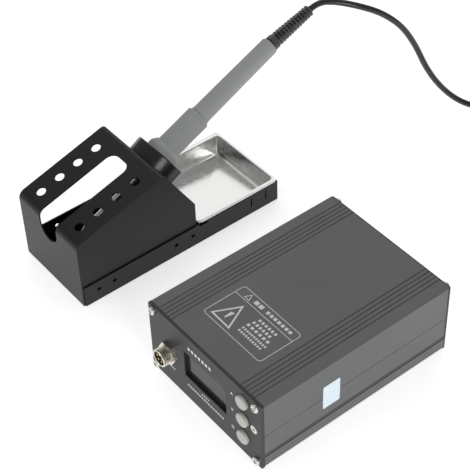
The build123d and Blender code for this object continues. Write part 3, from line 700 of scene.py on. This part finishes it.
def tray():
    """Pressed tinplate: a raised centre, a gutter, drafted walls and a flat rim with a folded lip."""
    low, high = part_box("solder_tray")
    centre = (low + high) / 2
    start = low.z + (TRAY_FLOOR + TRAY_WALL) * MM
    bpy.ops.object.select_all(action="DESELECT")
    bpy.ops.mesh.primitive_plane_add(size=1, location=(centre.x, centre.y, start))
    piece = new_piece("pressed_tray")
    piece.scale = (TRAY_WIDTH * MM, TRAY_LENGTH * MM, 1)
    settle(piece)
    bpy.ops.object.mode_set(mode="EDIT")
    bpy.ops.mesh.select_all(action="SELECT")
    bpy.ops.mesh.bevel(offset=TRAY_CORNER * MM, segments=6, affect="VERTICES")
    bpy.ops.mesh.select_all(action="SELECT")
    width, length, height = TRAY_WIDTH, TRAY_LENGTH, start / MM
    gutter, top = height - TRAY_FLOOR, high.z / MM
    steps = [(49.9, 53.4, height - 0.05), (50.3, 53.8, height - 0.2), (51.2, 54.7, gutter),
             (56.0, 59.4, gutter), (57.0, 60.4, gutter + 0.12),
             (57.7, 61.1, gutter + 0.5), (58.1, 61.5, gutter + 1.2),
             (60.7, 64.1, top - 1.1), (61.0, 64.4, top - 0.5), (61.7, 65.0, top - 0.1),
             (62.4, 65.5, top), (67.2, 67.2, top), (67.7, 67.6, top - 0.12), (67.9, 67.75, top - 0.5)]
    for new_width, new_length, new_height in steps:
        pick_open_edge()
        bpy.ops.mesh.extrude_edges_move(TRANSFORM_OT_translate={"value": mm(0, 0, new_height - height)})
        bpy.ops.transform.resize(value=(new_width / width, new_length / length, 1),
                                 center_override=(centre.x, centre.y, new_height * MM))
        width, length, height = new_width, new_length, new_height
    bpy.ops.mesh.select_all(action="SELECT")
    bpy.ops.mesh.normals_make_consistent(inside=False)
    done()
    modify(piece, "SOLIDIFY", thickness=TRAY_SHEET * MM, offset=-1)
    smooth(piece, 28)
    finish(piece, "tinplate")
    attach(piece, "tray")
    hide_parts("solder_tray")


# ---------------------------------------------------------------- socket
def socket_shell():
    """The threaded nickel barrel of the iron's socket, its mouth chamfered."""
    low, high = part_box("iron_socket_shell")
    centre = (low + high) / 2
    reach = (high.y - low.y) / MM
    threads, pitch = 5, 1.0
    profile = [(5.4, 0.2), (5.4, reach - 5.5)]
    for i in range(threads):
        base = reach - 5.4 + i * pitch * 0.98
        profile += [(5.45, base), (5.98, base + 0.36), (5.98, base + 0.5), (5.45, base + 0.86)]
    profile += [(5.95, reach - 0.45), (5.95, reach - 0.3), (5.65, reach), (5.0, reach), (4.82, reach - 0.2),
                (4.82, reach - 2.6)]
    shell = turned("socket_barrel", profile, 64)
    turn = Matrix.Rotation(math.pi / 2, 4, "X")
    settle(shell, Matrix.Translation((centre.x, high.y, centre.z)) @ turn)
    smooth(shell)
    finish(shell, "nickel")
    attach(shell, "root")
    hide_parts("iron_socket_shell")


# Bounds and wall of the black liner that paints shade inside the display's cut-out.
SHADE_LINER_LOW, SHADE_LINER_HIGH, SHADE_LINER_T = (33.77, 0.12, 19.17), (73.83, 2.18, 40.63), 0.35


def display_shade_liner():
    """A thin black liner round the inside of the display's cut-out: painted shade on the cut-out's walls."""
    low, high = on_unit(*SHADE_LINER_LOW), on_unit(*SHADE_LINER_HIGH)
    shade_liner = block("display_shade_liner", low, high)
    for facing in (-1, 1):
        pick(shade_liner, lambda place, normal: normal.y * facing > 0.9)
        bpy.ops.mesh.inset(thickness=SHADE_LINER_T * MM)
        done()
    centre = (low + high) / 2
    pick(shade_liner, lambda place, normal: abs(normal.y) > 0.9 and (place - centre).xz.length < 1 * MM)
    bpy.ops.mesh.bridge_edge_loops()
    done()
    # Its black is painted shade on the cut-out's walls.
    finish(shade_liner, "black_plastic")
    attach(shade_liner, "root")


# ---------------------------------------------------------------- printed marks
INK_T = 0.04


def bar(low_x, high_x, low_y, high_y):
    """A printed bar, lying flat in X and Y from the unit's corner, in millimetres."""
    return block("bar", mm(low_x, low_y, 0), mm(high_x, high_y, INK_T))


def polygon(name, corners):
    """A flat face with these corners, lying as the bars do."""
    bpy.ops.object.select_all(action="DESELECT")
    bpy.ops.mesh.primitive_circle_add(vertices=len(corners), radius=MM, fill_type="NGON")
    piece = new_piece(name)
    for point, (x, y) in zip(piece.data.vertices, corners):
        point.co = mm(x, y, 0)
    return piece


def outline(corners, line, rounding=0):
    """A printed line round a polygon with these corners."""
    piece = polygon("outline", corners)
    bpy.ops.object.mode_set(mode="EDIT")
    bpy.ops.mesh.select_all(action="SELECT")
    if rounding:
        bpy.ops.mesh.bevel(offset=rounding * MM, segments=6, affect="VERTICES")
        bpy.ops.mesh.select_all(action="SELECT")
    bpy.ops.mesh.inset(thickness=line * MM)
    bpy.ops.mesh.delete(type="FACE")
    bpy.ops.mesh.select_all(action="SELECT")
    bpy.ops.mesh.normals_make_consistent(inside=False)
    done()
    return modify(piece, "SOLIDIFY", thickness=INK_T * MM, offset=0)


def solid_mark(corners):
    return modify(polygon("solid_mark", corners), "SOLIDIFY", thickness=INK_T * MM, offset=0)


def dashes(low_x, high_x, y, height, count, gap=0.28):
    """A row of equal bars in place of a line of text."""
    step = (high_x - low_x) / count
    first = bar(low_x, low_x + (1 - gap) * step, y - height / 2, y + height / 2)
    return [first] + [copied(first, Matrix.Translation(mm(i * step, 0, 0))) for i in range(1, count)]


def top_print():
    """A framed panel of plain marks on the top: a triangle with a slanted bar, and rows of bars."""
    x0, x1, y0, y1, divide = 26.7, 79.5, 20.5, 52.5, 45.0
    marks = [outline([(x0, y0), (x1, y0), (x1, y1), (x0, y1)], 0.42, 2.6),
             bar(x0 + 0.3, x1 - 0.3, divide - 0.2, divide + 0.2),
             outline([(30.2, 23.6), (48.2, 23.2), (39.5, 41.8)], 1.15),
             solid_mark([(38.6, 27.2), (39.6, 27.2), (41.0, 33.6), (38.2, 33.0)]),
             outline([(33.2, 46.4), (38.4, 46.2), (35.9, 51.2)], 0.5)]
    marks += dashes(41.0, 49.4, 48.7, 2.9, 2, 0.22) + dashes(52.0, 75.5, 48.7, 2.3, 7, 0.34)
    for y, low_x, high_x in ((41.2, 54.0, 71.0), (37.6, 53.0, 70.0), (34.0, 52.0, 73.0)):
        marks += dashes(low_x, high_x, y, 2.0, 6, 0.42)
    marks += dashes(52.0, 74.0, 30.4, 1.6, 11, 0.4) + dashes(52.0, 73.0, 27.4, 1.6, 10, 0.4)
    piece = joined("top_print", marks)
    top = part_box("top_shell")[1].z
    settle(piece, Matrix.Translation((UNIT_CORNER.x, UNIT_CORNER.y, top)))
    finish(piece, "sticker", INK)
    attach(piece, "root")


def front_print():
    """Small bars by the display and the socket, and marks beside the three buttons."""
    marks = dashes(38.5, 61.5, 46.6, 2.4, 7, 0.4)
    marks += dashes(50.0, 57.5, 16.0, 1.1, 4, 0.35)
    marks += dashes(36.0, 71.5, 12.4, 1.6, 16, 0.4)
    marks += dashes(17.5, 24.0, 14.6, 1.1, 4, 0.35)
    marks += [solid_mark([(78.2, 42.6), (80.6, 42.6), (79.4, 44.8)]),
              solid_mark([(78.2, 30.2), (79.4, 28.0), (80.6, 30.2)]),
              bar(78.3, 80.5, 14.3, 14.8), bar(78.3, 80.5, 13.4, 13.9), bar(78.3, 80.5, 12.5, 13.0)]
    piece = joined("front_print", marks)
    stand_up = Matrix.Rotation(math.pi / 2, 4, "X")
    settle(piece, Matrix.Translation(UNIT_CORNER - mm(0, 0.01, 0)) @ stand_up)
    finish(piece, "sticker", INK)
    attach(piece, "root")


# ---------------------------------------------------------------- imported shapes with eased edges
EASED = {
    "top_shell": 0.25, "bottom_shell": 0.3, "front_panel": 0.25, "rear_panel": 0.25,
    "stand_cover": 0.3, "stand_base": 0.3, "holder_ring": 0.35,
    "menu_button": 0.2, "down_button": 0.2, "up_button": 0.2,
    "mains_inlet": 0.3, "power_switch_frame": 0.25, "power_switch_rocker": 0.3,
}


def eased_pieces():
    """Each takes its own edge radius in millimetres, and its node's body and material slot."""
    bodies = frame["record"]["behaviour"]["bodies"]
    body_of = {node: body for body, nodes in bodies.items() for node in nodes}
    slot_of = {row["node"]: row["material_slot"] for row in frame["record"]["subparts"]}
    for node, width in EASED.items():
        piece = finished_copy(node, width)
        # The end panels take the darker anodised copy, which is painted shade.
        finish(piece, slot_of[node], SHADED_PANEL_FINISH if node.endswith("_panel") else None)
        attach(piece, body_of[node])
        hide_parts(node)


# ---------------------------------------------------------------- studio
FLOOR_GLOW, ROOM_GREY = 0.62, 0.34


def plain(name, colour, rough, glow):
    paint = Paint(name, {"Roughness": rough, "Specular IOR Level": 0.2, "Emission Color": (1, 1, 1, 1),
                         "Emission Strength": glow})
    cloud = paint.noise(2, 2.0)
    paint.feed(Base_Color=paint.mix(cloud, colour, colour))
    return paint.material


def lamp(name, place, target, width, height, radiance):
    """A soft panel of light that looks at the target. Its brightness is set as radiance."""
    light = bpy.data.lights.new(name, "AREA")
    light.shape = "RECTANGLE"
    light.size, light.size_y = width, height
    light.energy = radiance * math.pi * width * height
    panel = bpy.data.objects.new(name, light)
    bpy.context.scene.collection.objects.link(panel)
    panel.location = place
    panel.rotation_euler = (Vector(target) - Vector(place)).to_track_quat("-Z", "Y").to_euler()


def studio():
    """White floor, a grey room, a large overhead panel behind, and two narrow ones."""
    bpy.ops.object.select_all(action="DESELECT")
    bpy.ops.mesh.primitive_plane_add(size=12, location=(0, 0, -0.0004))
    floor = new_piece("floor")
    floor.data.materials.append(plain("floor_white", (0.93, 0.93, 0.93), 0.9, FLOOR_GLOW))
    world = bpy.data.worlds.new("studio")
    bpy.context.scene.world = world
    world.use_nodes = True
    world.node_tree.nodes["Background"].inputs["Color"].default_value = (1, 1, 1, 1)
    world.node_tree.nodes["Background"].inputs["Strength"].default_value = ROOM_GREY
    lamp("overhead", (-1.25, 1.0, 1.5), (0, 0, 0.03), 2.1, 2.1, 0.74)
    lamp("right_strip", (1.36, -0.36, 0.56), (0, 0, 0.05), 0.36, 0.8, 6.0)
    lamp("front_strip", (-0.5, -1.7, 1.0), (0, 0, 0.05), 1.3, 0.5, 1.6)
    bpy.context.scene.view_settings.view_transform = "Standard"


place_camera()
make_cord()
finish_nodes()
strain_relief()
iron_collar()
iron_grip()
iron_body()
tray()
socket_shell()
display_shade_liner()
top_print()
front_print()
eased_pieces()
studio()
